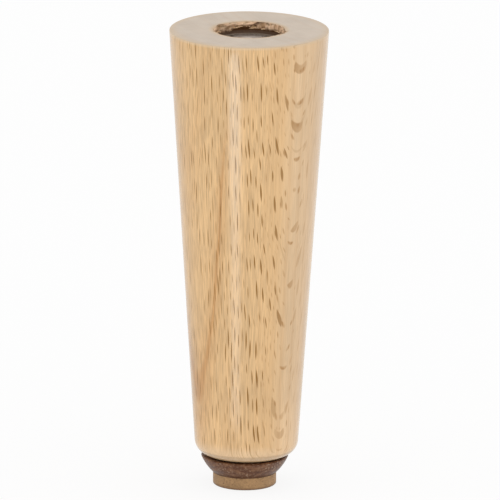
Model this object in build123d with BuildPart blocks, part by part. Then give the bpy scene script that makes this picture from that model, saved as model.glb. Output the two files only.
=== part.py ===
"""Turned beech furniture leg, with a pronged tee nut sunk in its wide end and a nailed felt glide under its foot.

Millimetres, +Z up. The origin is on the leg's axis, at the floor that the glide stands on.
"""

from build123d import *

import os
from math import hypot, radians, tan

# Leg
overall_height = 150.0
top_diameter = 51.2
foot_diameter = 32.7
top_edge_break = 0.5
foot_rounding = 5.0

# Tee nut, stamped and drawn from one sheet for an M8 bolt
recess_depth = 4.2
nut_height = 11.0
sheet_thickness = 1.5
flange_diameter = 22.0
barrel_diameter = 10.0
thread_minor_diameter = 6.647
entry_flare = 1.0
prong_count = 4
prong_start_angle = 45.0
prong_inset = 0.2
prong_width = 4.0
prong_length = 7.0
prong_point = 3.0
prong_bend = 0.3
relief_width = 0.8

# Room in the wood around the tee nut and below it
recess_clearance = 0.2
barrel_clearance = 0.1
bite_clearance = 0.05
bolt_room = 30.0
drill_point_angle = 118.0

# Glide, nailed on slightly beside the leg's axis
glide_offset = -0.5
base_height = 6.0
base_diameter = 28.0
base_edge_break = 0.3
rim_gap = 0.3
boss_diameter = 20.0
neck_diameter = 20.2
pad_height = 4.0
pad_diameter = 20.4
pad_edge_break = 0.5
nail_length = 20.0
nail_head_diameter = 6.0
nail_head_height = 1.0
nail_shank_diameter = 2.2
nail_point_length = 3.0
nail_clearance = 0.05

# Levels and radii that follow from the sizes above
foot_level = pad_height + base_height
top_radius = top_diameter / 2
foot_radius = foot_diameter / 2
nut_top = overall_height - recess_depth
flange_underside = nut_top - sheet_thickness
nut_bottom = nut_top - nut_height
flange_radius = flange_diameter / 2
barrel_radius = barrel_diameter / 2
thread_radius = thread_minor_diameter / 2
recess_radius = flange_radius + recess_clearance
bore_radius = barrel_radius + barrel_clearance
bore_end = nut_bottom - bolt_room
bore_tip = bore_end - bore_radius / tan(radians(drill_point_angle / 2))
prong_middle = flange_radius - prong_inset - sheet_thickness / 2
bend_radius = prong_bend + sheet_thickness / 2
bend_start = prong_middle - bend_radius
base_radius = base_diameter / 2
boss_radius = boss_diameter / 2
neck_radius = neck_diameter / 2
rim_level = foot_level - rim_gap
bowl_rise = base_height - rim_gap - base_edge_break
bowl_centre = (base_radius**2 - neck_radius**2 + bowl_rise**2) / (2 * bowl_rise)
bowl_radius = hypot(neck_radius, bowl_centre)
pad_radius = pad_diameter / 2
head_radius = nail_head_diameter / 2
shank_radius = nail_shank_diameter / 2
nail_tip = pad_height + nail_length
pilot_radius = shank_radius + nail_clearance
pilot_tip = nail_tip + pilot_radius / tan(radians(drill_point_angle / 2))

glide_axis = Axis((glide_offset, 0, 0), (0, 0, 1))
glide_plane = Plane(origin=(glide_offset, 0, 0), x_dir=(1, 0, 0), z_dir=(0, -1, 0))


def bent_prong(clearance):
    """Return one prong along +X, bent down out of the flange sheet and grown by a clearance."""
    half_width = prong_width / 2 + clearance
    slope = prong_point / (prong_width / 2)
    tip = flange_underside - prong_length - clearance * hypot(1, slope)
    bend_centre = (bend_start, nut_top - sheet_thickness / 2 - bend_radius)
    with BuildPart() as prong:
        with BuildSketch(Plane.XZ):
            with BuildLine():
                bend = CenterArc(bend_centre, bend_radius, 90, -90)
                Line(bend @ 1, (prong_middle, tip))
            trace(line_width=sheet_thickness + 2 * clearance)
        extrude(amount=prong_width, both=True)
        with BuildSketch(Plane.YZ):
            with BuildLine():
                Polyline(
                    (half_width, nut_top + prong_width),
                    (half_width, tip + half_width * slope),
                    (0, tip),
                    (-half_width, tip + half_width * slope),
                    (-half_width, nut_top + prong_width),
                    close=True,
                )
            make_face()
        extrude(amount=flange_diameter, mode=Mode.INTERSECT)
    return prong.part


prong = bent_prong(0)
prong_pocket = bent_prong(bite_clearance)

# Tee nut: flange, drawn barrel and bent prongs
with BuildPart() as tee_nut:
    with BuildSketch(Plane.XZ):
        with BuildLine():
            Polyline(
                (thread_radius, nut_bottom),
                (barrel_radius, nut_bottom),
                (barrel_radius, flange_underside),
                (flange_radius, flange_underside),
                (flange_radius, nut_top),
                (thread_radius + entry_flare, nut_top),
                (thread_radius, nut_top - entry_flare),
                close=True,
            )
        make_face()
    revolve(axis=Axis.Z)
    with BuildSketch(Plane.XY.offset(nut_top)):
        with PolarLocations(bend_start, prong_count, start_angle=prong_start_angle):
            Rectangle(
                flange_radius, prong_width + 2 * relief_width, align=(Align.MIN, Align.CENTER)
            )
    extrude(amount=-sheet_thickness, mode=Mode.SUBTRACT)
    with PolarLocations(0, prong_count, start_angle=prong_start_angle):
        add(prong)

# Leg: tapered turning, bored from the wide end for the tee nut and from the foot for the nail
with BuildPart() as leg:
    with BuildSketch(Plane.XZ):
        with BuildLine():
            Polyline(
                (0, foot_level),
                (foot_radius, foot_level),
                (top_radius, overall_height),
                (0, overall_height),
                close=True,
            )
        make_face()
    revolve(axis=Axis.Z)
    fillet(leg.faces().sort_by(Axis.Z)[0].edges(), foot_rounding)
    chamfer(leg.faces().sort_by(Axis.Z)[-1].edges(), top_edge_break)
    with BuildSketch(Plane.XZ):
        with BuildLine():
            Polyline(
                (0, overall_height),
                (recess_radius, overall_height),
                (recess_radius, flange_underside),
                (bore_radius, flange_underside),
                (bore_radius, bore_end),
                (0, bore_tip),
                close=True,
            )
        make_face()
    revolve(axis=Axis.Z, mode=Mode.SUBTRACT)
    with PolarLocations(0, prong_count, start_angle=prong_start_angle):
        add(prong_pocket, mode=Mode.SUBTRACT)
    with BuildSketch(glide_plane):
        with BuildLine():
            Polyline(
                (0, foot_level),
                (pilot_radius, foot_level),
                (pilot_radius, nail_tip),
                (0, pilot_tip),
                close=True,
            )
        make_face()
    revolve(axis=glide_axis, mode=Mode.SUBTRACT)

# Glide base: moulded bowl with a stepped nail hole, whose raised boss alone meets the wood
with BuildPart() as glide_base:
    with BuildSketch(glide_plane):
        with BuildLine():
            side = RadiusArc(
                (neck_radius, pad_height), (base_radius, pad_height + bowl_rise), -bowl_radius
            )
            Polyline(
                side @ 1,
                (base_radius - base_edge_break, rim_level),
                (boss_radius, rim_level),
                (boss_radius, foot_level),
                (pilot_radius, foot_level),
                (pilot_radius, pad_height + nail_head_height),
                (head_radius + nail_clearance, pad_height + nail_head_height),
                (head_radius + nail_clearance, pad_height),
                side @ 0,
            )
        make_face()
    revolve(axis=glide_axis)

# Glide nail: flat head, round shank and a four-sided cut point
with BuildPart() as glide_nail:
    with BuildSketch(glide_plane):
        with BuildLine():
            Polyline(
                (0, pad_height),
                (head_radius, pad_height),
                (head_radius, pad_height + nail_head_height),
                (shank_radius, pad_height + nail_head_height),
                (shank_radius, nail_tip),
                (0, nail_tip),
                close=True,
            )
        make_face()
    revolve(axis=glide_axis)
    for turn in range(0, 360, 90):
        with BuildSketch(glide_plane.rotated((0, 0, turn))):
            with BuildLine():
                Polyline(
                    (nail_shank_diameter, nail_tip),
                    (0, nail_tip),
                    (nail_shank_diameter, nail_tip - 2 * nail_point_length),
                    close=True,
                )
            make_face()
        extrude(amount=nail_shank_diameter, both=True, mode=Mode.SUBTRACT)

# Glide pad: felt disc glued under the base
with BuildPart() as glide_pad:
    with BuildSketch(glide_plane):
        with BuildLine():
            Polyline(
                (0, 0),
                (pad_radius, 0),
                (pad_radius, pad_height),
                (0, pad_height),
                close=True,
            )
        make_face()
    revolve(axis=glide_axis)
    chamfer(glide_pad.faces().sort_by(Axis.Z)[0].edges(), pad_edge_break)

os.makedirs("parts", exist_ok=True)
leg.part.label = "leg"
export_step(leg.part, "parts/leg.step")
tee_nut.part.label = "tee_nut"
export_step(tee_nut.part, "parts/tee_nut.step")
glide_base.part.label = "glide_base"
export_step(glide_base.part, "parts/glide_base.step")
glide_nail.part.label = "glide_nail"
export_step(glide_nail.part, "parts/glide_nail.step")
glide_pad.part.label = "glide_pad"
export_step(glide_pad.part, "parts/glide_pad.step")
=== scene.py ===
"""Dresses a turned beech furniture leg with a sunk tee nut and a nailed felt glide, in metres."""

from math import atan, cos, pi, radians, sin, tan

import bmesh
import bpy
from bpy.props import FloatProperty, FloatVectorProperty, PointerProperty
from bpy.types import NodeSocket, Operator, Panel, PropertyGroup
from mathutils import Color, Matrix, Vector


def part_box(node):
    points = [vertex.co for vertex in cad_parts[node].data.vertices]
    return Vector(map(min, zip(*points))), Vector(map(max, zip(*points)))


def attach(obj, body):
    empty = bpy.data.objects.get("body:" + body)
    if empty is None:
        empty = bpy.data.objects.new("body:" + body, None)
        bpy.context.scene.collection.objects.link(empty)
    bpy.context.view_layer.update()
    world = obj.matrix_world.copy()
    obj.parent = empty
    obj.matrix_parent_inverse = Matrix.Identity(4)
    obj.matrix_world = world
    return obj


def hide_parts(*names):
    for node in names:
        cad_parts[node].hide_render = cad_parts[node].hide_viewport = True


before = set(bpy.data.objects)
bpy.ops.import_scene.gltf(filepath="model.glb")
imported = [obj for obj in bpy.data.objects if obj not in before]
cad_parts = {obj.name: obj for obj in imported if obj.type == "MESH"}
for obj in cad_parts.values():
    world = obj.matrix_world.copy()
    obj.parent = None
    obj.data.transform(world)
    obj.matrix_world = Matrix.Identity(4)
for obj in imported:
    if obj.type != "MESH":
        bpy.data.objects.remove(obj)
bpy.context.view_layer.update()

bl_info = {
    "name": "Turned Furniture Leg",
    "version": (1, 0, 0),
    "blender": (4, 5, 0),
    "location": "3D View > Sidebar > Leg",
    "description": "Builds a turned wooden furniture leg with its tee nut, its glide and a studio",
    "category": "Object",
}

LEG_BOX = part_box("leg")
NUT_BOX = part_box("tee_nut")
PAD_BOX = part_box("glide_pad")
MILLIMETRE = 0.001
WHITE = (1.0, 1.0, 1.0, 1.0)

# Levels and radii of the solids
LEG_LOW = LEG_BOX[0][2]
LEG_TOP = LEG_BOX[1][2]
LEG_RADIUS = LEG_BOX[1][0]
NUT_LOW = NUT_BOX[0][2]
NUT_TOP = NUT_BOX[1][2]
NUT_RADIUS = (NUT_BOX[1][0] - NUT_BOX[0][0]) / 2
PAD_LOW = PAD_BOX[0][2]
PAD_TOP = PAD_BOX[1][2]
PAD_RADIUS = (PAD_BOX[1][0] - PAD_BOX[0][0]) / 2

# Fineness of the meshes
LEG_STEPS = 400
PAD_STEPS = 240
THREAD_STEPS = 120
THREAD_ROWS_PER_PITCH = 12
WELD_DISTANCE = 1e-6
TOUCH_DISTANCE = 1e-5

# Edges sharper than these stay sharp
TURNED_CREASE = radians(35)
NUT_CREASE = radians(30)


class LegSettings(PropertyGroup):
    """Sizes and finish of the turned leg."""

    foot_diameter: FloatProperty(
        name="Foot diameter",
        description="Width of the narrow end before it is rounded",
        default=0.0327,
        unit="LENGTH",
    )
    foot_rounding: FloatProperty(
        name="Foot rounding",
        description="Radius around the foot's edge",
        default=0.005,
        unit="LENGTH",
    )
    top_rounding: FloatProperty(
        name="Top rounding",
        description="Radius of the eased top edge",
        default=0.0005,
        unit="LENGTH",
    )
    recess_clearance: FloatProperty(
        name="Recess clearance",
        description="Room around the nut's flange",
        default=0.0002,
        unit="LENGTH",
    )
    bore_diameter: FloatProperty(
        name="Bore diameter",
        description="Width of the hole around the nut's barrel",
        default=0.0102,
        unit="LENGTH",
    )
    bolt_room: FloatProperty(
        name="Bolt room",
        description="Depth of the bore below the nut",
        default=0.03,
        unit="LENGTH",
    )
    drill_angle: FloatProperty(
        name="Drill angle",
        description="Angle of the drill's point at the end of the bore",
        default=radians(118),
        subtype="ANGLE",
    )
    flange_thickness: FloatProperty(
        name="Flange thickness",
        description="Thickness of the nut's flange that lies on the wood",
        default=0.0015,
        unit="LENGTH",
    )
    tear_depth: FloatProperty(
        name="Tear depth",
        description="How far the drill tore the wood around the recess",
        default=0.0009,
        unit="LENGTH",
    )
    ring_turn: FloatProperty(
        name="Ring turn",
        description="Direction in which the growth rings follow each other, about the axis",
        default=radians(210),
        subtype="ANGLE",
    )
    wood_colour: FloatVectorProperty(
        name="Wood colour",
        description="Lacquered beech between its rays",
        default=(0.678, 0.433, 0.212),
        size=3,
        subtype="COLOR",
    )
    pale_colour: FloatVectorProperty(
        name="Pale wood colour",
        description="Beech on the side of the pith",
        default=(0.718, 0.495, 0.285),
        size=3,
        subtype="COLOR",
    )
    # Along the outer edge of the top this colour is painted shade
    worn_colour: FloatVectorProperty(
        name="Worn colour",
        description="Bare rubbed wood along the edges",
        default=(0.66, 0.5, 0.33),
        size=3,
        subtype="COLOR",
    )
    # In the torn wood this colour also paints the shade between the strands
    late_colour: FloatVectorProperty(
        name="Late wood colour",
        description="Darker end of each growth ring",
        default=(0.52, 0.27, 0.1),
        size=3,
        subtype="COLOR",
    )
    ray_colour: FloatVectorProperty(
        name="Ray colour",
        description="Dark spindles of the rays",
        default=(0.23, 0.095, 0.0),
        size=3,
        subtype="COLOR",
    )
    fleck_colour: FloatVectorProperty(
        name="Ray fleck colour",
        description="Broad flecks where a ray is cut along its length",
        default=(0.4, 0.2, 0.06),
        size=3,
        subtype="COLOR",
    )
    end_colour: FloatVectorProperty(
        name="End grain colour",
        description="Sanded end grain of the top",
        default=(0.62, 0.53, 0.44),
        size=3,
        subtype="COLOR",
    )
    torn_colour: FloatVectorProperty(
        name="Torn wood colour",
        description="Raw wood at the mouth of the recess",
        default=(0.78, 0.555, 0.375),
        size=3,
        subtype="COLOR",
    )
    # This colour paints burnt wood together with its shade in the recess
    burn_and_shade_colour: FloatVectorProperty(
        name="Scorched and shaded wood colour",
        description="Burnt wood deeper in the recess, with painted shade",
        default=(0.075, 0.031, 0.01),
        size=3,
        subtype="COLOR",
    )
    # A painted reflection of the nut's grey metal on the dark wood beside it
    nut_reflection_colour: FloatVectorProperty(
        name="Wood colour lit by the nut",
        description="Burnt wood beside the tee nut, greyed by painted light reflected off it",
        default=(0.27, 0.215, 0.17),
        size=3,
        subtype="COLOR",
    )


class NutSettings(PropertyGroup):
    """Thread and finish of the tee nut, and finish of the glide's nail."""

    thread_diameter: FloatProperty(
        name="Thread diameter",
        description="Width of the thread at the bottom of its groove",
        default=0.008,
        unit="LENGTH",
    )
    thread_pitch: FloatProperty(
        name="Thread pitch",
        description="Height of one turn of the thread",
        default=0.00125,
        unit="LENGTH",
    )
    plate_colour: FloatVectorProperty(
        name="Plate colour",
        description="Dull zinc on the tee nut",
        default=(0.62, 0.56, 0.51),
        size=3,
        subtype="COLOR",
    )
    wire_colour: FloatVectorProperty(
        name="Wire colour",
        description="Bright wire of the glide's nail",
        default=(0.62, 0.61, 0.6),
        size=3,
        subtype="COLOR",
    )
    spot_colour: FloatVectorProperty(
        name="Spot colour",
        description="Dark spots in the plating",
        default=(0.16, 0.13, 0.11),
        size=3,
        subtype="COLOR",
    )


class GlideSettings(PropertyGroup):
    """Finish of the glide's base and pad."""

    pad_rounding: FloatProperty(
        name="Pad rounding",
        description="Radius of the pad's lower edge",
        default=0.0006,
        unit="LENGTH",
    )
    felt_depth: FloatProperty(
        name="Felt depth",
        description="Depth of the pits between the felt's fibres",
        default=0.00006,
        unit="LENGTH",
    )
    base_colour: FloatVectorProperty(
        name="Base colour",
        description="Brown of the moulded base",
        default=(0.1, 0.033, 0.011),
        size=3,
        subtype="COLOR",
    )
    vein_colour: FloatVectorProperty(
        name="Vein colour",
        description="Pale veins in the moulded base",
        default=(0.205, 0.095, 0.045),
        size=3,
        subtype="COLOR",
    )
    grain_colour: FloatVectorProperty(
        name="Grain colour",
        description="Small pale grains in the moulded base",
        default=(0.36, 0.25, 0.17),
        size=3,
        subtype="COLOR",
    )
    dark_grain_and_shade_colour: FloatVectorProperty(
        name="Dark grain and shade colour",
        description="Dark grains on the moulded base, and its painted shade towards the pad",
        default=(0.05, 0.016, 0.006),
        size=3,
        subtype="COLOR",
    )
    pad_colour: FloatVectorProperty(
        name="Pad colour",
        description="Tan of the pressed pad",
        default=(0.405, 0.238, 0.11),
        size=3,
        subtype="COLOR",
    )
    # This colour also paints the shade at the pad's lower edge
    fleck_colour: FloatVectorProperty(
        name="Fleck colour",
        description="Dark fibres in the pressed pad",
        default=(0.16, 0.08, 0.035),
        size=3,
        subtype="COLOR",
    )


class StageSettings(PropertyGroup):
    """Camera and light."""

    distance: FloatProperty(
        name="Camera distance",
        description="From the camera to the point that it aims at",
        default=5.0,
        unit="LENGTH",
    )
    lens: FloatProperty(
        name="Lens",
        description="Focal length in millimetres",
        default=1122.2,
    )
    elevation: FloatProperty(
        name="Elevation",
        description="Angle of the camera above the horizon",
        default=radians(14.1),
        subtype="ANGLE",
    )
    roll: FloatProperty(
        name="Roll",
        description="Lean of the camera about its own axis",
        default=radians(0.4),
        subtype="ANGLE",
    )
    aim_height: FloatProperty(
        name="Aim height",
        description="Level of the point on the axis that the camera aims at",
        default=0.07726,
        unit="LENGTH",
    )
    aim_side: FloatProperty(
        name="Aim side",
        description="How far right of the axis the camera aims",
        default=0.00074,
        unit="LENGTH",
    )
    world_strength: FloatProperty(
        name="Surround",
        description="Strength of the white surround",
        default=0.96,
    )
    back_light: FloatProperty(
        name="Light from behind",
        description="Share of its light that the floor throws from behind the leg",
        default=0.4,
        subtype="FACTOR",
    )
    back_turn: FloatProperty(
        name="Turn of the back",
        description="Angle, towards the left, at which the floor throws the least light",
        default=radians(12),
        subtype="ANGLE",
    )
    gleam_strength: FloatProperty(
        name="Gleam",
        description="Brightness of the cards whose gleam runs down the lacquer",
        default=2.6,
    )
    gleam_turn: FloatProperty(
        name="Turn of the gleam",
        description="Angle of the cards from the camera's side, about the axis",
        default=radians(-21),
        subtype="ANGLE",
    )
    gleam_reach: FloatProperty(
        name="Reach of the gleam",
        description="From the axis to the near end of the farthest card",
        default=0.28,
        unit="LENGTH",
    )
    gleam_colour: FloatVectorProperty(
        name="Gleam colour",
        description="Cool white of the cards",
        default=(0.78, 0.92, 1.0),
        size=3,
        subtype="COLOR",
    )


class Graph:
    """Adds linked nodes to a shader or geometry tree in few words."""

    def __init__(self, tree):
        self.tree = tree

    def add(self, kind, inputs=None, **settings):
        """Add a node, set its options and link or set its inputs by name or place."""
        node = self.tree.nodes.new(kind)
        for name, value in settings.items():
            setattr(node, name, value)
        for key, value in (inputs or {}).items():
            self.feed(node.inputs[key], value)
        return node

    def feed(self, socket, value):
        """Link a socket to another one, or set its value. A colour gets full alpha."""
        if isinstance(value, NodeSocket):
            self.tree.links.new(value, socket)
        elif isinstance(value, Color):
            socket.default_value = (*value, 1.0)
        else:
            socket.default_value = value

    def math(self, operation, *values):
        """Return the result of a Math node."""
        return self.add("ShaderNodeMath", dict(enumerate(values)), operation=operation).outputs[0]

    def product(self, first, *others):
        """Return the product of several numbers."""
        for other in others:
            first = self.math("MULTIPLY", first, other)
        return first

    def vector(self, operation, *values):
        """Return the vector that a Vector Math node gives."""
        node = self.add("ShaderNodeVectorMath", dict(enumerate(values)), operation=operation)
        return node.outputs["Vector"]

    def measure(self, operation, *values):
        """Return the number that a Vector Math node gives."""
        node = self.add("ShaderNodeVectorMath", dict(enumerate(values)), operation=operation)
        return node.outputs["Value"]

    def scale(self, vector, factor):
        """Return a vector times a number."""
        inputs = {0: vector, "Scale": factor}
        return self.add("ShaderNodeVectorMath", inputs, operation="SCALE").outputs["Vector"]

    def join(self, x, y, z):
        """Return a vector from three numbers."""
        return self.add("ShaderNodeCombineXYZ", {0: x, 1: y, 2: z}).outputs[0]

    def split(self, vector):
        """Return the three numbers of a vector."""
        return self.add("ShaderNodeSeparateXYZ", {0: vector}).outputs

    def fade(self, value, start, end, low=0.0, high=1.0):
        """Return a smooth step from low at start to high at end."""
        inputs = {0: value, 1: start, 2: end, 3: low, 4: high}
        node = self.add("ShaderNodeMapRange", inputs, interpolation_type="SMOOTHSTEP")
        return node.outputs[0]

    def noise(self, vector, scale, detail=2.0, roughness=0.5, output="Fac"):
        """Return a noise texture of a vector."""
        inputs = {"Vector": vector, "Scale": scale, "Detail": detail, "Roughness": roughness}
        return self.add("ShaderNodeTexNoise", inputs).outputs[output]

    def mix(self, factor, first, second, blend="MIX"):
        """Return a mix of two colours."""
        inputs = {0: factor, 6: first, 7: second}
        return self.add("ShaderNodeMix", inputs, data_type="RGBA", blend_type=blend).outputs[2]

    def shade(self, colour, factor):
        """Return a colour times a number."""
        return self.mix(1.0, colour, factor, blend="MULTIPLY")


def add_object(name, data):
    """Return a new object of some data, linked to the scene."""
    piece = bpy.data.objects.new(name, data)
    bpy.context.collection.objects.link(piece)
    return piece


def emptied_graph(owner):
    """Return the graph of a material or world, emptied of its nodes."""
    owner.use_nodes = True
    owner.node_tree.nodes.clear()
    return Graph(owner.node_tree)


def new_material(name):
    """Return an emptied material with its graph, its Principled shader and its position in millimetres."""
    material = bpy.data.materials.new(name)
    graph = emptied_graph(material)
    shader = graph.add("ShaderNodeBsdfPrincipled")
    graph.add("ShaderNodeOutputMaterial", {"Surface": shader.outputs[0]})
    coordinates = graph.add("ShaderNodeTexCoord").outputs["Object"]
    return material, graph, shader, graph.scale(coordinates, 1 / MILLIMETRE)


def finish_surface(graph, shader, values, height, strength, depth):
    """Link or set the shader's inputs by name, and bump it by a height of a strength and a depth."""
    for name, value in values.items():
        graph.feed(shader.inputs[name], value)
    bump = graph.add("ShaderNodeBump", {"Strength": strength, "Distance": depth, "Height": height})
    graph.feed(shader.inputs["Normal"], bump.outputs[0])


def rays(graph, grain, cell, share, softness):
    """Return the cut faces of a share of the rays: lens-shaped, one to a cell of staggered columns."""
    across, along, inward = graph.split(graph.vector("DIVIDE", grain, cell))
    column = graph.math("FLOOR", across)
    shift = graph.add("ShaderNodeTexWhiteNoise", {"W": column}, noise_dimensions="1D").outputs["Color"]
    shift_along, shift_inward, _ = graph.split(shift)
    along = graph.math("ADD", along, shift_along)
    inward = graph.math("ADD", inward, shift_inward)
    corner = graph.join(column, graph.math("FLOOR", along), graph.math("FLOOR", inward))
    seeded = {"Vector": corner, "W": cell[0]}
    chance = graph.add("ShaderNodeTexWhiteNoise", seeded, noise_dimensions="4D").outputs["Color"]
    place, size, rank = graph.split(chance)

    # Sizes and places are shares of a cell
    half_width = graph.math("MULTIPLY_ADD", size, 0.14, 0.1)
    half_height = graph.math("MULTIPLY_ADD", size, 0.26, 0.2)
    middle = graph.math("MULTIPLY_ADD", place, 0.36, 0.32)
    beside = graph.math("SUBTRACT", graph.math("FRACT", across), middle)
    beside = graph.math("DIVIDE", graph.math("ABSOLUTE", beside), half_width)
    beyond = graph.math("SUBTRACT", graph.math("FRACT", along), 0.5)
    beyond = graph.math("POWER", graph.math("DIVIDE", beyond, half_height), 2.0)
    deep = graph.math("MULTIPLY_ADD", graph.math("FRACT", inward), 2.0, -1.0)
    beyond = graph.math("ADD", beyond, graph.math("POWER", deep, 4.0))
    mark = graph.fade(graph.math("ADD", beside, beyond), 1.0, softness)
    shown = graph.fade(graph.math("SUBTRACT", share, rank), 0.0, 0.4)
    return graph.product(mark, shown)


def beech_group():
    """Return the figure of beech in space: rays, flecks, growth rings, fibres and clouds."""
    name = "Beech figure"
    if name in bpy.data.node_groups:
        return bpy.data.node_groups[name]
    tree = bpy.data.node_groups.new(name, "ShaderNodeTree")
    tree.interface.new_socket("Position", in_out="INPUT", socket_type="NodeSocketVector")
    tree.interface.new_socket("Turn", in_out="INPUT", socket_type="NodeSocketFloat")
    for output in ("Rays", "Fine Rays", "Flecks", "Rings", "Streak", "Fibres", "Cloud", "Pale", "Quarter"):
        tree.interface.new_socket(output, in_out="OUTPUT", socket_type="NodeSocketFloat")
    graph = Graph(tree)
    source = graph.add("NodeGroupInput").outputs

    # Millimetres. A cell's sizes lie across the rays, along the grain and away from the pith
    pith_distance = 110.0
    straight_level = 70.0
    slope_across = -0.005
    slope_along = -0.024
    ring_width = 1.9
    streak_place = pith_distance + 17.8
    main_cell = (0.75, 9.5, 9.0)
    fleck_cell = (0.34, 4.5, 3.2)
    fine_cell = (0.42, 16.0, 12.0)
    fibre_cell = (0.4, 16.0, 0.4)
    cloud_cell = (6.0, 60.0, 6.0)

    turned = graph.add(
        "ShaderNodeVectorRotate",
        {"Vector": source["Position"], "Angle": graph.product(source["Turn"], -1.0)},
        rotation_type="Z_AXIS",
    ).outputs[0]
    across, along, height = graph.split(turned)
    from_axis = graph.measure("LENGTH", graph.join(across, along, 0.0))
    cut = graph.math("ABSOLUTE", graph.math("DIVIDE", along, from_axis))
    drift = graph.noise(turned, 0.04, detail=1.0, output="Color")
    drift = graph.vector("MULTIPLY_ADD", drift, (1.2, 1.2, 0.0), (-0.6, -0.6, 0.0))
    drift_across, drift_along, _ = graph.split(drift)
    from_pith = graph.math("MULTIPLY_ADD", height, slope_across, across)
    from_pith = graph.math("ADD", graph.math("ADD", from_pith, drift_across), pith_distance)
    along = graph.math("MULTIPLY_ADD", graph.math("SUBTRACT", height, straight_level), slope_along, along)
    along = graph.math("ADD", along, drift_along)
    ring_place = graph.measure("LENGTH", graph.join(from_pith, along, 0.0))
    ray_place = graph.product(graph.math("ARCTAN2", along, from_pith), pith_distance)
    grain = graph.join(ray_place, height, ring_place)

    # Rays are cut across on the flat-sawn sides and along on the quarter-sawn sides
    main_share = graph.math(
        "MINIMUM", graph.fade(cut, 0.3, 0.8, 0.65, 1.2), graph.fade(cut, 0.975, 1.0, 1.2, 0.9)
    )
    main_depth = graph.product(
        graph.fade(across, -8.0, 0.0, 0.35, 1.0), graph.fade(cut, 0.97, 1.0, 1.0, 0.85)
    )
    fine_depth = graph.fade(cut, 0.6, 0.92, 1.0, 0.4)
    ring_line = graph.join(graph.math("DIVIDE", ring_place, ring_width), 0.0, 0.0)
    from_streak = graph.math("ABSOLUTE", graph.math("SUBTRACT", ring_place, streak_place))
    streak = graph.math(
        "MAXIMUM", graph.fade(from_streak, 0.5, 0.05), graph.fade(from_streak, 1.6, 0.3, 0.0, 0.4)
    )
    fibre_place = graph.vector("DIVIDE", grain, fibre_cell)
    cloud_place = graph.vector("DIVIDE", grain, cloud_cell)
    marks = {
        "Rays": graph.product(rays(graph, grain, main_cell, main_share, 0.6), main_depth),
        "Fine Rays": graph.product(rays(graph, grain, fine_cell, 0.9, 0.3), fine_depth),
        "Flecks": graph.product(rays(graph, grain, fleck_cell, 1.0, 0.2), graph.fade(cut, 0.9, 0.97)),
        "Rings": graph.fade(graph.noise(ring_line, 1.0, roughness=0.6), 0.4, 0.75),
        "Streak": graph.product(streak, graph.fade(height, 135.0, 100.0)),
        "Fibres": graph.noise(fibre_place, 1.0, detail=3.0, roughness=0.6),
        "Cloud": graph.noise(cloud_place, 1.0),
        "Pale": graph.fade(across, 3.0, -5.5),
        "Quarter": graph.fade(cut, 0.94, 1.0),
    }
    graph.add("NodeGroupOutput", marks)
    return tree


def beech_marks(graph, position, settings):
    """Return the outputs of the beech figure at a position."""
    inputs = {"Position": position, "Turn": settings.ring_turn}
    return graph.add("ShaderNodeGroup", inputs, node_tree=beech_group()).outputs


def lacquered_beech(settings):
    """Return the side of the leg: beech with rays and rings under a satin lacquer."""
    material, graph, shader, position = new_material("lacquered beech")
    marks = beech_marks(graph, position, settings)
    level = graph.split(position)[2]
    foot = LEG_LOW / MILLIMETRE
    top = LEG_TOP / MILLIMETRE

    # The rounding at the foot is paler, partly sanded wood and partly a painted reflection of the white
    # floor, and it ends in a darker band of painted shade where it turns under
    rounding = graph.fade(level, foot + 7.0, foot + 3.5)
    pale = graph.math("MAXIMUM", marks["Pale"], rounding)
    wood = graph.mix(pale, settings.wood_colour, settings.pale_colour)
    wood = graph.mix(graph.product(marks["Rings"], 0.25), wood, settings.late_colour)
    wood = graph.mix(graph.product(marks["Streak"], 0.9), wood, settings.late_colour)
    # Painted light makes the lower leg lighter towards the foot, and painted shade darkens the band under
    # the rounding
    painted_foot_light = graph.fade(level, foot + 5.0, foot + 24.0, 1.11, 1.0)
    painted_band_shade = graph.fade(level, foot + 2.3, foot + 2.9, 0.74, 1.0)
    cloud_tone = graph.fade(marks["Cloud"], 0.3, 0.7, 0.96, 1.06)

    # Fibres show less on the pale and the quarter-sawn wood
    smooth = graph.math("MAXIMUM", pale, marks["Quarter"])
    fibre_low = graph.math("MULTIPLY_ADD", smooth, 0.13, 0.78)
    fibre_high = graph.math("MULTIPLY_ADD", smooth, -0.09, 1.16)
    fibre_tone = graph.fade(marks["Fibres"], 0.25, 0.75, fibre_low, fibre_high)
    wood = graph.shade(wood, graph.product(cloud_tone, painted_foot_light, painted_band_shade, fibre_tone))
    wood = graph.mix(graph.product(marks["Fine Rays"], 0.45), wood, settings.ray_colour)
    fleck_strength = graph.fade(marks["Fibres"], 0.4, 0.6, 0.95, 0.5)
    wood = graph.mix(graph.product(marks["Flecks"], fleck_strength), wood, settings.fleck_colour)

    # Rays are sanded thin at the rounding and fade low down on the quarter-sawn side
    sanded = graph.math("MULTIPLY_ADD", rounding, -0.6, 0.92)
    faint = graph.fade(level, foot + 30.0, foot + 20.0, 0.0, 0.5)
    clear = graph.math("SUBTRACT", 1.0, graph.product(marks["Quarter"], faint))
    ray_tint = graph.mix(marks["Pale"], settings.ray_colour, settings.fleck_colour)
    wood = graph.mix(graph.product(marks["Rays"], sanded, clear), wood, ray_tint)
    worn = graph.fade(level, top - 1.3, top - 0.2, 0.0, 0.7)
    values = {
        "Base Color": graph.mix(worn, wood, settings.worn_colour),
        "Roughness": graph.fade(marks["Fibres"], 0.2, 0.8, 0.33, 0.45),
        "Specular IOR Level": 0.05,
        "Coat Weight": 0.8,
        "Coat Roughness": 0.18,
    }
    finish_surface(graph, shader, values, marks["Fibres"], 0.15, 0.0001)
    return material


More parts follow.
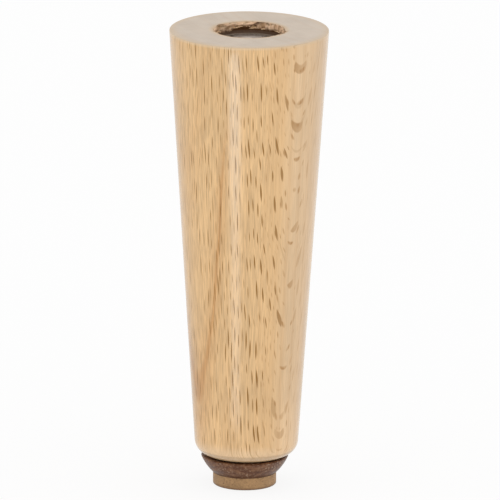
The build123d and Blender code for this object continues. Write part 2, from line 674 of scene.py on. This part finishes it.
def sanded_end_grain(settings):
    """Return the top of the leg: bare end grain, sanded grey."""
    material, graph, shader, position = new_material("sanded end grain")
    marks = beech_marks(graph, position, settings)
    pores = graph.noise(position, 4.0, detail=3.0, roughness=0.7)
    blotch = graph.noise(position, 0.12)
    wood = graph.mix(graph.product(marks["Rings"], 0.12), settings.end_colour, settings.late_colour)
    pore_tone = graph.fade(pores, 0.25, 0.75, 0.94, 1.05)
    blotch_tone = graph.fade(blotch, 0.3, 0.7, 0.96, 1.04)
    wood = graph.shade(wood, graph.product(pore_tone, blotch_tone))
    wood = graph.mix(graph.product(marks["Rays"], 0.12), wood, settings.ray_colour)

    # Both edges of the top take the worn colour: the rim of the mouth is rubbed and keeps more of the wood's
    # own colour, and the ring along the outer edge is painted shade where the edge rolls off
    x, y, _ = graph.split(position)
    radius = graph.measure("LENGTH", graph.join(x, y, 0.0))
    outer = LEG_RADIUS / MILLIMETRE
    mouth = recess_sizes(settings)[0] / MILLIMETRE
    rubbed_and_edge_shade = graph.math(
        "MAXIMUM",
        graph.fade(radius, outer - 3.0, outer - 0.3, 0.0, 0.45),
        graph.fade(radius, mouth + 2.5, mouth + 0.3, 0.0, 0.7),
    )
    wood = graph.mix(rubbed_and_edge_shade, wood, settings.worn_colour)

    # The back of the mouth, where the strip was torn off, is browner
    browned = graph.product(
        graph.fade(radius, mouth + 1.6, mouth + 0.2, 0.0, 0.35), graph.fade(y, -4.0, 6.0)
    )
    values = {"Base Color": graph.mix(browned, wood, settings.late_colour), "Roughness": 0.8}
    finish_surface(graph, shader, values, pores, 0.2, 0.0001)
    return material


def torn_beech(settings):
    """Return the inside of the recess: raw torn fibres at the mouth with painted shade between them, and
    scorched wood below with painted shade, greyed near the nut by painted light reflected off its metal.
    """
    material, graph, shader, position = new_material("torn beech")
    scorch = graph.add("ShaderNodeAttribute", attribute_name="scorch").outputs["Fac"]
    strands = graph.add("ShaderNodeAttribute", attribute_name="strands").outputs["Fac"]
    fibres = graph.noise(position, 1.5, roughness=0.55)
    patches = graph.noise(position, 0.4, detail=1.0)
    # Where the strands sink deeper, the torn wood is painted darker and browner: painted shade in the
    # crevices between them
    raw = graph.mix(graph.fade(strands, 0.1, 0.9, 0.0, 0.5), settings.torn_colour, settings.late_colour)
    strand_crevice_shade = graph.fade(strands, 0.1, 0.9, 1.12, 0.7)
    patch_tone = graph.fade(patches, 0.35, 0.65, 0.8, 1.15)
    raw = graph.shade(raw, graph.product(strand_crevice_shade, patch_tone))
    level = graph.split(position)[2]
    floor = NUT_TOP / MILLIMETRE
    # Near the nut the dark wood turns grey: painted light reflected off the nut's metal
    nut_reflection = graph.math(
        "MAXIMUM",
        graph.fade(level, floor + 1.8, floor + 0.9, 0.0, 0.25),
        graph.fade(level, floor + 0.6, floor + 0.25),
    )
    burn_and_shade_tint = graph.mix(nut_reflection, settings.burn_and_shade_colour, settings.nut_reflection_colour)
    # Where the stored darkening is high, the wood takes the burnt colour together with its painted shade
    values = {"Base Color": graph.mix(scorch, raw, burn_and_shade_tint), "Roughness": 0.9, "Specular IOR Level": 0.1}
    finish_surface(graph, shader, values, fibres, 0.6, 0.0003)
    return material


def plated_steel(name, tint, roughness, spot_colour):
    """Return plated steel with fine rolling marks and dark spots."""
    material, graph, shader, position = new_material(name)
    marks = graph.noise(graph.vector("MULTIPLY", position, (0.6, 6.0, 0.6)), 1.0, detail=3.0)
    spots = graph.fade(graph.noise(position, 0.5, detail=3.0), 0.5, 0.75)
    values = {
        "Base Color": graph.mix(graph.product(spots, 0.3), tint, spot_colour),
        "Metallic": 0.9,
        "Roughness": graph.fade(marks, 0.2, 0.8, roughness - 0.08, roughness + 0.1),
    }
    finish_surface(graph, shader, values, marks, 0.15, 0.00005)
    return material


def marbled_plastic(settings):
    """Return the base's brown plastic with paler veins and grains, and painted shade towards the pad."""
    material, graph, shader, position = new_material("marbled brown plastic")
    swirl = graph.noise(position, 0.16, output="Color")
    place = graph.vector("MULTIPLY_ADD", swirl, (4.0, 4.0, 4.0), position)
    veins = graph.noise(graph.vector("MULTIPLY", place, (0.35, 0.35, 0.9)), 1.0, detail=5.0, roughness=0.65)
    colour = graph.mix(graph.fade(veins, 0.42, 0.62), settings.base_colour, settings.vein_colour)
    grains = graph.noise(position, 1.6)
    gathered = graph.fade(graph.noise(position, 0.3, detail=1.0), 0.4, 0.6, 0.2, 0.9)
    pale_grains = graph.product(graph.fade(grains, 0.56, 0.64), gathered)
    colour = graph.mix(pale_grains, colour, settings.grain_colour)
    # Painted shade darkens the base towards the pad
    level = graph.split(position)[2]
    low = PAD_TOP / MILLIMETRE
    painted_low_shade = graph.fade(level, low + 1.8, low + 0.2, 0.0, 0.5)
    dark = graph.math("MAXIMUM", graph.fade(grains, 0.42, 0.32, 0.0, 0.6), painted_low_shade)
    values = {
        "Base Color": graph.mix(dark, colour, settings.dark_grain_and_shade_colour),
        "Roughness": graph.fade(veins, 0.3, 0.7, 0.32, 0.5),
        "Specular IOR Level": 0.25,
    }
    finish_surface(graph, shader, values, veins, 0.2, 0.0001)
    return material


def pressed_felt(settings):
    """Return the pad's tan felt with dark fibres, and painted shade towards the floor."""
    material, graph, shader, position = new_material("pressed felt")
    fibres = graph.noise(graph.vector("MULTIPLY", position, (1.2, 1.2, 3.5)), 1.0, detail=4.0, roughness=0.7)
    flecks = graph.fade(graph.noise(position, 1.5), 0.6, 0.7)
    cloud = graph.noise(position, 0.25)
    felt = graph.mix(graph.product(flecks, 0.7), settings.pad_colour, settings.fleck_colour)
    fibre_tone = graph.fade(fibres, 0.25, 0.75, 0.8, 1.2)
    cloud_tone = graph.fade(cloud, 0.3, 0.7, 0.88, 1.12)
    felt = graph.shade(felt, graph.product(fibre_tone, cloud_tone))
    # Painted shade darkens the pad's lower edge, where it meets the floor
    level = graph.split(position)[2]
    low = PAD_LOW / MILLIMETRE
    painted_low_shade = graph.fade(level, low + 1.2, low + 0.1, 0.0, 0.85)
    values = {
        "Base Color": graph.mix(painted_low_shade, felt, settings.fleck_colour),
        "Roughness": 0.95,
        "Sheen Weight": 0.2,
    }
    finish_surface(graph, shader, values, fibres, 0.6, 0.0003)
    return material


def stretch(start, end, count):
    """Return points evenly along a straight stretch, with its start and without its end."""
    return [Vector(start).lerp(Vector(end), step / count) for step in range(count)]


def bend(centre, radius, start_angle, end_angle, count):
    """Return points along an arc, with both ends, angles in radians."""
    turn = (end_angle - start_angle) / count
    angles = [start_angle + turn * step for step in range(count + 1)]
    return [Vector((centre[0] + radius * cos(a), centre[1] + radius * sin(a))) for a in angles]


def geometry_tree(name, inputs):
    """Return a geometry tree with named inputs of given kinds, its graph and its inputs' sockets."""
    tree = bpy.data.node_groups.new(name, "GeometryNodeTree")
    tree.interface.new_socket("Geometry", in_out="OUTPUT", socket_type="NodeSocketGeometry")
    for label, kind in inputs.items():
        tree.interface.new_socket(label, in_out="INPUT", socket_type="NodeSocket" + kind)
    graph = Graph(tree)
    return tree, graph, graph.add("NodeGroupInput").outputs


def end_tree(graph, geometry, material, selection=True):
    """End a geometry tree in real meshes with a material on their selected faces."""
    real = graph.add("GeometryNodeRealizeInstances", {"Geometry": geometry}).outputs[0]
    inputs = {"Geometry": real, "Selection": selection, "Material": material}
    painted = graph.add("GeometryNodeSetMaterial", inputs).outputs[0]
    graph.add("NodeGroupOutput", {"Geometry": painted})


def lathe_tree():
    """Return the tree that turns a profile about an upright axis, with sharp edges kept sharp."""
    name = "Lathe"
    if name in bpy.data.node_groups:
        return bpy.data.node_groups[name]
    inputs = {"Profile": "Object", "Steps": "Int", "Centre": "Vector", "Material": "Material"}
    tree, graph, source = geometry_tree(name, inputs)
    profile = graph.add("GeometryNodeObjectInfo", {"Object": source["Profile"]}).outputs["Geometry"]
    size = graph.add("GeometryNodeAttributeDomainSize", {0: profile}, component="CURVE")
    count = size.outputs["Point Count"]
    columns = graph.math("ADD", source["Steps"], 1.0)
    grid = graph.add(
        "GeometryNodeMeshGrid",
        {"Size X": 1.0, "Size Y": 1.0, "Vertices X": columns, "Vertices Y": count},
    )
    place = graph.add("GeometryNodeInputPosition").outputs[0]
    across, along, _ = graph.split(place)
    last = graph.math("SUBTRACT", count, 1.0)
    index = graph.math("ROUND", graph.product(graph.math("ADD", along, 0.5), last))
    sample = graph.add(
        "GeometryNodeSampleIndex",
        {"Geometry": profile, "Value": place, "Index": index},
        data_type="FLOAT_VECTOR",
    )
    radius, level, _ = graph.split(sample.outputs[0])
    angle = graph.product(graph.math("ADD", across, 0.5), 2 * pi)
    spun_x = graph.product(radius, graph.math("COSINE", angle))
    spun_y = graph.product(radius, graph.math("SINE", angle))
    spun = graph.join(spun_x, spun_y, level)
    moved = graph.add(
        "GeometryNodeSetPosition",
        {"Geometry": grid.outputs["Mesh"], "Position": spun, "Offset": source["Centre"]},
    )
    closed = graph.add(
        "GeometryNodeMergeByDistance", {"Geometry": moved.outputs[0], "Distance": WELD_DISTANCE}
    )
    smooth = graph.add("GeometryNodeSetShadeSmooth", {"Geometry": closed.outputs[0]})
    edge_angle = graph.add("GeometryNodeInputMeshEdgeAngle").outputs["Unsigned Angle"]
    creased = graph.math("GREATER_THAN", edge_angle, TURNED_CREASE)
    sharp = graph.add(
        "GeometryNodeSetShadeSmooth",
        {"Geometry": smooth.outputs[0], "Selection": creased, "Shade Smooth": False},
        domain="EDGE",
    )
    end_tree(graph, sharp.outputs[0], source["Material"])
    return tree


def use_tree(piece, tree, values):
    """Give a piece a geometry modifier with its inputs set by name."""
    modifier = piece.modifiers.new(tree.name, "NODES")
    modifier.node_group = tree
    for item in tree.interface.items_tree:
        if item.in_out == "INPUT" and item.name in values:
            modifier[item.identifier] = values[item.name]


def settle(piece, name):
    """Replace a piece by a plain mesh of what its modifiers make, at the origin."""
    graph = bpy.context.evaluated_depsgraph_get()
    mesh = bpy.data.meshes.new_from_object(piece.evaluated_get(graph))
    mesh.name = name
    bpy.data.objects.remove(piece)
    return add_object(name, mesh)


def turned_blank(name, profile, steps, material, centre=(0, 0, 0)):
    """Return an object whose modifier turns a profile of radius and level, and the profile's object."""
    curve = bpy.data.curves.new(name + "_profile", "CURVE")
    spline = curve.splines.new("POLY")
    spline.points.add(len(profile) - 1)
    for point, place in zip(spline.points, profile):
        point.co = (place[0], place[1], 0, 1)
    outline = add_object(name + "_profile", curve)
    blank = add_object(name + "_blank", bpy.data.meshes.new(name + "_blank"))
    values = {"Profile": outline, "Steps": steps, "Centre": centre, "Material": material}
    use_tree(blank, lathe_tree(), values)
    return blank, outline


def tear_tree():
    """Return the tree that tears the recess's wall and rim and paints the end grain and the torn wood."""
    inputs = {
        "Mesh": "Geometry",
        "Top": "Float",
        "Radius": "Float",
        "Depth": "Float",
        "Tear": "Float",
        "End Grain": "Material",
        "Torn Wood": "Material",
    }
    tree, graph, source = geometry_tree("Torn recess", inputs)
    depth = source["Depth"]
    tear = source["Tear"]
    place = graph.add("GeometryNodeInputPosition").outputs[0]
    x, y, level = graph.split(place)
    flat = graph.join(x, y, 0.0)
    radius = graph.measure("LENGTH", flat)
    outward = graph.vector("NORMALIZE", flat)
    below_top = graph.math("SUBTRACT", source["Top"], level)
    from_rim = graph.math("SUBTRACT", radius, source["Radius"])
    on_top = graph.math("LESS_THAN", below_top, TOUCH_DISTANCE)
    in_recess = graph.math("LESS_THAN", from_rim, TOUCH_DISTANCE)
    above_seat = graph.math("LESS_THAN", below_top, graph.math("SUBTRACT", depth, TOUCH_DISTANCE))
    on_wall = graph.product(in_recess, above_seat)

    # A torn strip runs round the mouth, peels up towards the back and ends there in a step
    angle = graph.math("ARCTAN2", y, x)
    strip_end = graph.math("MULTIPLY_ADD", below_top, 130.0, radians(74))
    past_end = graph.math("SUBTRACT", angle, strip_end)
    peel = graph.product(graph.fade(angle, radians(140), radians(85)), graph.fade(past_end, -0.03, 0.03))
    crack = graph.product(graph.fade(past_end, -0.3, -0.02), graph.fade(past_end, 0.05, 0.0))
    ragged = graph.noise(place, 350.0, detail=3.0, roughness=0.6)
    share = graph.math("MULTIPLY_ADD", peel, -0.12, 0.42)
    share = graph.math("ADD", share, graph.math("MULTIPLY_ADD", ragged, 0.5, -0.25))
    from_edge = graph.math("SUBTRACT", below_top, graph.product(share, depth))
    below = graph.fade(from_edge, -0.0002, 0.0002)
    # The wall below the strip's edge is darkened: burnt wood together with painted shade
    browned = graph.fade(from_edge, -0.0009, 0.0004)
    above = graph.math("SUBTRACT", 1.0, below)

    # Chips leave the front of the rim almost whole
    chips = graph.fade(graph.noise(outward, 3.0, detail=4.0, roughness=0.65), 0.45, 0.65)
    calm = graph.fade(graph.split(outward)[1], -0.75, -0.2, 0.1, 1.0)
    chips = graph.product(chips, calm)

    # Torn strands climb along the strip and stand upright past its end, with a few pits between them
    around = graph.math("ABSOLUTE", angle)
    climb = graph.join(x, y, graph.math("MULTIPLY_ADD", around, 0.0015, level))
    lying = graph.noise(graph.vector("MULTIPLY", climb, (180.0, 180.0, 1000.0)), 1.0, roughness=0.55)
    standing = graph.noise(graph.vector("MULTIPLY", place, (900.0, 900.0, 220.0)), 1.0, roughness=0.55)
    on_strip = graph.fade(around, radians(70), radians(85))
    strands = graph.math("MULTIPLY_ADD", graph.math("SUBTRACT", lying, standing), on_strip, standing)
    # The stored strand value paints shade on the torn wood, darker where the strands sink deeper
    strand_shade = graph.fade(strands, 0.3, 0.68)
    strands = graph.math("MULTIPLY_ADD", strands, 2.0, -1.0)
    pits = graph.fade(graph.noise(place, 420.0), 0.6, 0.7)
    holes = graph.math("ADD", graph.math("ADD", chips, pits), crack)
    ripped = graph.product(graph.math("MULTIPLY_ADD", holes, 0.6, strands), above, calm)

    # The wall moves outwards where it is ripped and inwards at the ledge, and the rim rolls over
    ledge = graph.product(below, graph.fade(below_top, 0.0, graph.product(depth, 0.7), -0.35, 0.0))
    bite = graph.product(graph.math("ADD", ripped, ledge), on_wall)
    spread = graph.fade(from_rim, 0.0, graph.product(tear, 3.0), 1.0, 0.0)
    past_rim = graph.math("SUBTRACT", 1.0, in_recess)
    slide = graph.product(chips, spread, on_top, past_rim, 0.6)
    push = graph.scale(outward, graph.product(graph.math("ADD", bite, slide), tear))
    roll = graph.product(spread, spread, on_top, graph.math("MULTIPLY_ADD", chips, 0.4, 0.25))
    drop = graph.product(roll, tear, -1.0)
    # The stored darkening: below the torn strip the wall is burnt wood with painted shade, it is painted
    # darker with depth as shade, and the pits and the crack hold painted shade
    shaded = graph.product(graph.math("DIVIDE", below_top, depth), 0.25)
    gap_shade = graph.product(graph.math("MAXIMUM", pits, crack), 0.75)
    dark = graph.math("MAXIMUM", graph.math("MAXIMUM", browned, shaded), gap_shade)
    marked = source["Mesh"]
    for name, value in (("scorch", dark), ("strands", strand_shade)):
        marked = graph.add(
            "GeometryNodeStoreNamedAttribute",
            {"Geometry": marked, "Name": name, "Value": value},
            data_type="FLOAT",
            domain="POINT",
        ).outputs[0]
    offset = graph.vector("ADD", push, graph.join(0.0, 0.0, drop))
    torn = graph.add("GeometryNodeSetPosition", {"Geometry": marked, "Offset": offset})

    # Faces that look up are end grain, and steeper ones in the recess and the bore are torn wood
    level_face = 0.7
    upright = graph.split(graph.add("GeometryNodeInputNormal").outputs[0])[2]
    near_top = graph.math("LESS_THAN", below_top, graph.product(tear, 0.5))
    is_end = graph.product(graph.math("GREATER_THAN", upright, level_face), near_top)
    ended = graph.add(
        "GeometryNodeSetMaterial",
        {"Geometry": torn.outputs[0], "Selection": is_end, "Material": source["End Grain"]},
    )
    inside = graph.math("LESS_THAN", radius, graph.math("ADD", source["Radius"], tear))
    bored = graph.math("GREATER_THAN", level, graph.product(source["Top"], 0.6))
    is_torn = graph.product(inside, bored, graph.math("LESS_THAN", upright, level_face))
    end_tree(graph, ended.outputs[0], source["Torn Wood"], is_torn)
    return tree


def recess_sizes(settings):
    """Return the recess's radius and the level of its seat."""
    return NUT_RADIUS + settings.recess_clearance, NUT_TOP - settings.flange_thickness


def leg_profile(settings):
    """Return the leg's outline from the foot's centre, up the side and down into the bore."""
    recess, seat = recess_sizes(settings)
    bore = settings.bore_diameter / 2
    bore_end = NUT_LOW - settings.bolt_room
    bore_tip = bore_end - bore / tan(settings.drill_angle / 2)
    foot_radius = settings.foot_diameter / 2
    rounding = settings.foot_rounding
    easing = settings.top_rounding
    taper = atan((LEG_RADIUS - foot_radius) / (LEG_TOP - easing - LEG_LOW))
    foot_centre = (foot_radius + rounding * tan(taper) - rounding / cos(taper), LEG_LOW + rounding)
    top_centre = (LEG_RADIUS - easing / cos(taper), LEG_TOP - easing)
    foot_arc = bend(foot_centre, rounding, -pi / 2, -taper, 14)
    top_arc = bend(top_centre, easing, -taper, pi / 2, 6)
    return [
        *stretch((0, LEG_LOW), foot_arc[0], 4),
        *foot_arc[:-1],
        *stretch(foot_arc[-1], top_arc[0], 30),
        *top_arc[:-1],
        *stretch(top_arc[-1], (recess, LEG_TOP), 60),
        *stretch((recess, LEG_TOP), (recess, seat), 36),
        *stretch((recess, seat), (bore, seat), 3),
        *stretch((bore, seat), (bore, bore_end), 3),
        Vector((bore, bore_end)),
        Vector((0, bore_tip)),
    ]


class FURNITURELEG_OT_turn_leg(Operator):
    """Turn the leg, tear its recess and give it its beech"""

    bl_idname = "furnitureleg.turn_leg"
    bl_label = "Turn Leg"

    def execute(self, context):
        settings = context.scene.leg_settings
        side = lacquered_beech(settings)
        blank, outline = turned_blank("beech_leg", leg_profile(settings), LEG_STEPS, side)
        recess, seat = recess_sizes(settings)
        values = {
            "Top": LEG_TOP,
            "Radius": recess,
            "Depth": LEG_TOP - seat,
            "Tear": settings.tear_depth,
            "End Grain": sanded_end_grain(settings),
            "Torn Wood": torn_beech(settings),
        }
        use_tree(blank, tear_tree(), values)
        leg = settle(blank, "beech_leg")
        bpy.data.objects.remove(outline)
        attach(leg, "root")
        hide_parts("leg")
        return {"FINISHED"}


def dress_node(name, material):
    """Give a solid of the frame one material."""
    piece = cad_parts[name]
    piece.data.materials.clear()
    piece.data.materials.append(material)


def thread_rows(settings, low, high):
    """Return rings of points up a metric thread that runs out at both ends."""
    # Shares of the pitch in a metric nut thread
    thread_depth = 0.5413
    crest_flat = 1 / 4
    root_flat = 1 / 8
    flanks = 1 - crest_flat - root_flat
    pitch = settings.thread_pitch
    major = settings.thread_diameter / 2
    minor = major - thread_depth * pitch
    row_count = round(THREAD_ROWS_PER_PITCH * (high - low) / pitch)
    rows = []
    for row in range(row_count + 1):
        level = low + (high - low) * row / row_count
        run_out = min(1.0, (level - low) / pitch, (high - level) / pitch)
        points = []
        for step in range(THREAD_STEPS):
            share = step / THREAD_STEPS
            wave = 1 - abs(2 * ((level / pitch - share) % 1) - 1)
            groove = min(max((wave - crest_flat) / flanks, 0.0), 1.0) * run_out
            radius = minor + (major - minor) * groove
            points.append((radius * cos(2 * pi * share), radius * sin(2 * pi * share), level))
        rows.append(points)
    return rows


def cut_thread(shape, settings):
    """Replace the plain wall of the nut's hole with its thread."""
    pitch = settings.thread_pitch
    reach = settings.thread_diameter / 2 - 0.5 * pitch
    wall = [face for face in shape.faces if all(point.co.xy.length < reach for point in face.verts)]
    bmesh.ops.delete(shape, geom=wall, context="FACES")
    rims = [edge for edge in shape.edges if edge.is_boundary]
    low = min(edge.verts[0].co.z for edge in rims)
    high = max(edge.verts[0].co.z for edge in rims)
    margin = 0.04 * pitch
    rows = [
        [shape.verts.new(point) for point in points]
        for points in thread_rows(settings, low + margin, high - margin)
    ]
    for lower, upper in zip(rows, rows[1:]):
        for step, point in enumerate(lower):
            shape.faces.new((lower[step - 1], upper[step - 1], upper[step], point))
    for row, level in ((rows[0], low), (rows[-1], high)):
        ring = [shape.edges.get((row[step - 1], point)) for step, point in enumerate(row)]
        rim = [edge for edge in rims if abs(edge.verts[0].co.z - level) < margin]
        bmesh.ops.bridge_loops(shape, edges=ring + rim)
    bmesh.ops.recalc_face_normals(shape, faces=shape.faces)


class FURNITURELEG_OT_plate_metal(Operator):
    """Cut the tee nut's thread and give the nut and the nail their plated steel"""

    bl_idname = "furnitureleg.plate_metal"
    bl_label = "Plate Metal"

    def execute(self, context):
        settings = context.scene.nut_settings
        spots = settings.spot_colour
        shape = bmesh.new()
        shape.from_mesh(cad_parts["tee_nut"].data)
        bmesh.ops.remove_doubles(shape, verts=shape.verts, dist=WELD_DISTANCE)
        cut_thread(shape, settings)
        mesh = bpy.data.meshes.new("threaded_nut")
        shape.to_mesh(mesh)
        shape.free()
        mesh.shade_smooth()
        mesh.set_sharp_from_angle(angle=NUT_CREASE)
        mesh.materials.append(plated_steel("dull zinc plate", settings.plate_colour, 0.45, spots))
        nut = add_object("threaded_nut", mesh)
        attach(nut, "root")
        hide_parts("tee_nut")
        dress_node("glide_nail", plated_steel("bright nail wire", settings.wire_colour, 0.3, spots))
        return {"FINISHED"}


def felt_tree():
    """Return the tree that roughens a surface inwards like pressed felt."""
    inputs = {"Mesh": "Geometry", "Depth": "Float", "Material": "Material"}
    tree, graph, source = geometry_tree("Felt surface", inputs)
    place = graph.add("GeometryNodeInputPosition").outputs[0]
    normal = graph.add("GeometryNodeInputNormal").outputs[0]
    pits = graph.noise(place, 1400.0, detail=3.0, roughness=0.6)
    sunk = graph.scale(normal, graph.product(pits, source["Depth"], -1.0))
    rough = graph.add("GeometryNodeSetPosition", {"Geometry": source["Mesh"], "Offset": sunk})
    end_tree(graph, rough.outputs[0], source["Material"])
    return tree


def pad_profile(settings):
    """Return the pad's outline from the middle of its underside to the middle of its top."""
    rounding = settings.pad_rounding
    corner = bend((PAD_RADIUS - rounding, PAD_LOW + rounding), rounding, -pi / 2, 0, 8)
    return [
        *stretch((0, PAD_LOW), corner[0], 24),
        *corner[:-1],
        *stretch(corner[-1], (PAD_RADIUS, PAD_TOP), 14),
        *stretch((PAD_RADIUS, PAD_TOP), (0, PAD_TOP), 6),
        Vector((0, PAD_TOP)),
    ]


class FURNITURELEG_OT_dress_glide(Operator):
    """Give the glide its marbled base and its felt pad"""

    bl_idname = "furnitureleg.dress_glide"
    bl_label = "Dress Glide"

    def execute(self, context):
        settings = context.scene.glide_settings
        dress_node("glide_base", marbled_plastic(settings))
        centre = ((PAD_BOX[0][0] + PAD_BOX[1][0]) / 2, (PAD_BOX[0][1] + PAD_BOX[1][1]) / 2, 0)
        felt = pressed_felt(settings)
        blank, outline = turned_blank("felt_pad", pad_profile(settings), PAD_STEPS, felt, centre)
        use_tree(blank, felt_tree(), {"Depth": settings.felt_depth, "Material": felt})
        pad = settle(blank, "felt_pad")
        bpy.data.objects.remove(outline)
        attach(pad, "root")
        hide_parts("glide_pad")
        return {"FINISHED"}


def seen_directly(graph):
    """Return 1 for rays from the camera, mirrors and glass, and 0 for rays that only carry light."""
    paths = graph.add("ShaderNodeLightPath").outputs
    mirrored = graph.math("MAXIMUM", paths["Is Glossy Ray"], paths["Is Transmission Ray"])
    return graph.math("MAXIMUM", paths["Is Camera Ray"], mirrored)


def make_floor(settings):
    """Add a white floor that keeps a pale shadow and throws less light from behind the leg."""
    reach = 4.0
    soft_border = 0.05
    paper_white = (0.95, 0.95, 0.95, 1.0)
    mesh = bpy.data.meshes.new("floor")
    corners = [(-reach, -reach, 0), (reach, -reach, 0), (reach, reach, 0), (-reach, reach, 0)]
    mesh.from_pydata(corners, [], [(0, 1, 2, 3)])
    floor = add_object("floor", mesh)
    material = bpy.data.materials.new("white floor")
    graph = emptied_graph(material)
    seen = seen_directly(graph)
    place = graph.add("ShaderNodeTexCoord").outputs["Object"]
    away = (-sin(settings.back_turn), cos(settings.back_turn), 0.0)
    behind = graph.measure("DOT_PRODUCT", place, away)
    thrown = graph.fade(behind, -soft_border, soft_border, 1.0, settings.back_light)
    strength = graph.math("MAXIMUM", seen, thrown)
    paper = graph.add("ShaderNodeBsdfDiffuse", {"Color": paper_white})
    glow = graph.add("ShaderNodeEmission", {"Color": WHITE, "Strength": strength})
    share = graph.math("MULTIPLY_ADD", seen, 0.15, 0.7)
    both = graph.add("ShaderNodeMixShader", {0: share, 1: paper.outputs[0], 2: glow.outputs[0]})
    graph.add("ShaderNodeOutputMaterial", {"Surface": both.outputs[0]})
    mesh.materials.append(material)


def make_surround(scene, settings):
    """Light the scene evenly from a white surround, which the camera sees as white."""
    world = bpy.data.worlds.new("white surround")
    scene.world = world
    graph = emptied_graph(world)
    level = settings.world_strength
    strength = graph.math("MULTIPLY_ADD", seen_directly(graph), 1.0 - level, level)
    sky = graph.add("ShaderNodeBackground", {"Color": WHITE, "Strength": strength})
    graph.add("ShaderNodeOutputWorld", {"Surface": sky.outputs[0]})


def make_card(settings, share):
    """Add a bright card on the floor, out of the camera's sight, at a share of the farthest one's reach."""
    width_share = 0.38
    lift = 0.002
    near = settings.gleam_reach * share
    length = near
    width = near * width_share
    middle = near + length / 2
    turn = settings.gleam_turn
    lamp = bpy.data.lights.new("gleam", "AREA")
    lamp.shape = "RECTANGLE"
    lamp.size = width
    lamp.size_y = length
    lamp.energy = settings.gleam_strength * (1 + share**3) * pi * width * length
    lamp.color = settings.gleam_colour
    card = add_object("gleam", lamp)
    card.location = (middle * sin(turn), -middle * cos(turn), lift)
    card.rotation_euler = (pi, 0, turn)
    card.visible_camera = False


def make_camera(scene, settings):
    """Add the camera, far off with a long lens, so that it sees the leg almost in parallel."""
    data = bpy.data.cameras.new("camera")
    data.lens = settings.lens
    data.clip_end = 100.0
    camera = add_object("camera", data)
    aim = Vector((settings.aim_side, 0, settings.aim_height))
    back = Vector((0, -cos(settings.elevation), sin(settings.elevation)))
    look = Matrix.Rotation(pi / 2 - settings.elevation, 4, "X") @ Matrix.Rotation(settings.roll, 4, "Z")
    camera.matrix_world = Matrix.Translation(aim + settings.distance * back) @ look
    scene.camera = camera


class FURNITURELEG_OT_set_stage(Operator):
    """Set the floor, the white surround, the light cards and the camera"""

    bl_idname = "furnitureleg.set_stage"
    bl_label = "Set Stage"

    def execute(self, context):
        settings = context.scene.stage_settings
        make_floor(settings)
        make_surround(context.scene, settings)
        for share in (1 / 4, 1 / 2, 1):
            make_card(settings, share)
        make_camera(context.scene, settings)
        context.scene.view_settings.view_transform = "Standard"
        return {"FINISHED"}


class FURNITURELEG_PT_panel(Panel):
    """Lists the steps and their settings"""

    bl_label = "Furniture Leg"
    bl_space_type = "VIEW_3D"
    bl_region_type = "UI"
    bl_category = "Leg"

    def draw(self, context):
        groups = (
            (context.scene.leg_settings, FURNITURELEG_OT_turn_leg),
            (context.scene.nut_settings, FURNITURELEG_OT_plate_metal),
            (context.scene.glide_settings, FURNITURELEG_OT_dress_glide),
            (context.scene.stage_settings, FURNITURELEG_OT_set_stage),
        )
        for settings, step in groups:
            box = self.layout.box()
            for name in settings.__annotations__:
                box.prop(settings, name)
            box.operator(step.bl_idname)


CLASSES = (
    LegSettings,
    NutSettings,
    GlideSettings,
    StageSettings,
    FURNITURELEG_OT_turn_leg,
    FURNITURELEG_OT_plate_metal,
    FURNITURELEG_OT_dress_glide,
    FURNITURELEG_OT_set_stage,
    FURNITURELEG_PT_panel,
)


def register():
    """Register the classes and hang their settings on the scene."""
    for kind in CLASSES:
        bpy.utils.register_class(kind)
    bpy.types.Scene.leg_settings = PointerProperty(type=LegSettings)
    bpy.types.Scene.nut_settings = PointerProperty(type=NutSettings)
    bpy.types.Scene.glide_settings = PointerProperty(type=GlideSettings)
    bpy.types.Scene.stage_settings = PointerProperty(type=StageSettings)


def unregister():
    """Take the settings off the scene and unregister the classes."""
    del bpy.types.Scene.stage_settings
    del bpy.types.Scene.glide_settings
    del bpy.types.Scene.nut_settings
    del bpy.types.Scene.leg_settings
    for kind in reversed(CLASSES):
        bpy.utils.unregister_class(kind)


def main():
    """Build every piece and the stage."""
    register()
    bpy.ops.furnitureleg.turn_leg()
    bpy.ops.furnitureleg.plate_metal()
    bpy.ops.furnitureleg.dress_glide()
    bpy.ops.furnitureleg.set_stage()


if __name__ == "__main__":
    main()
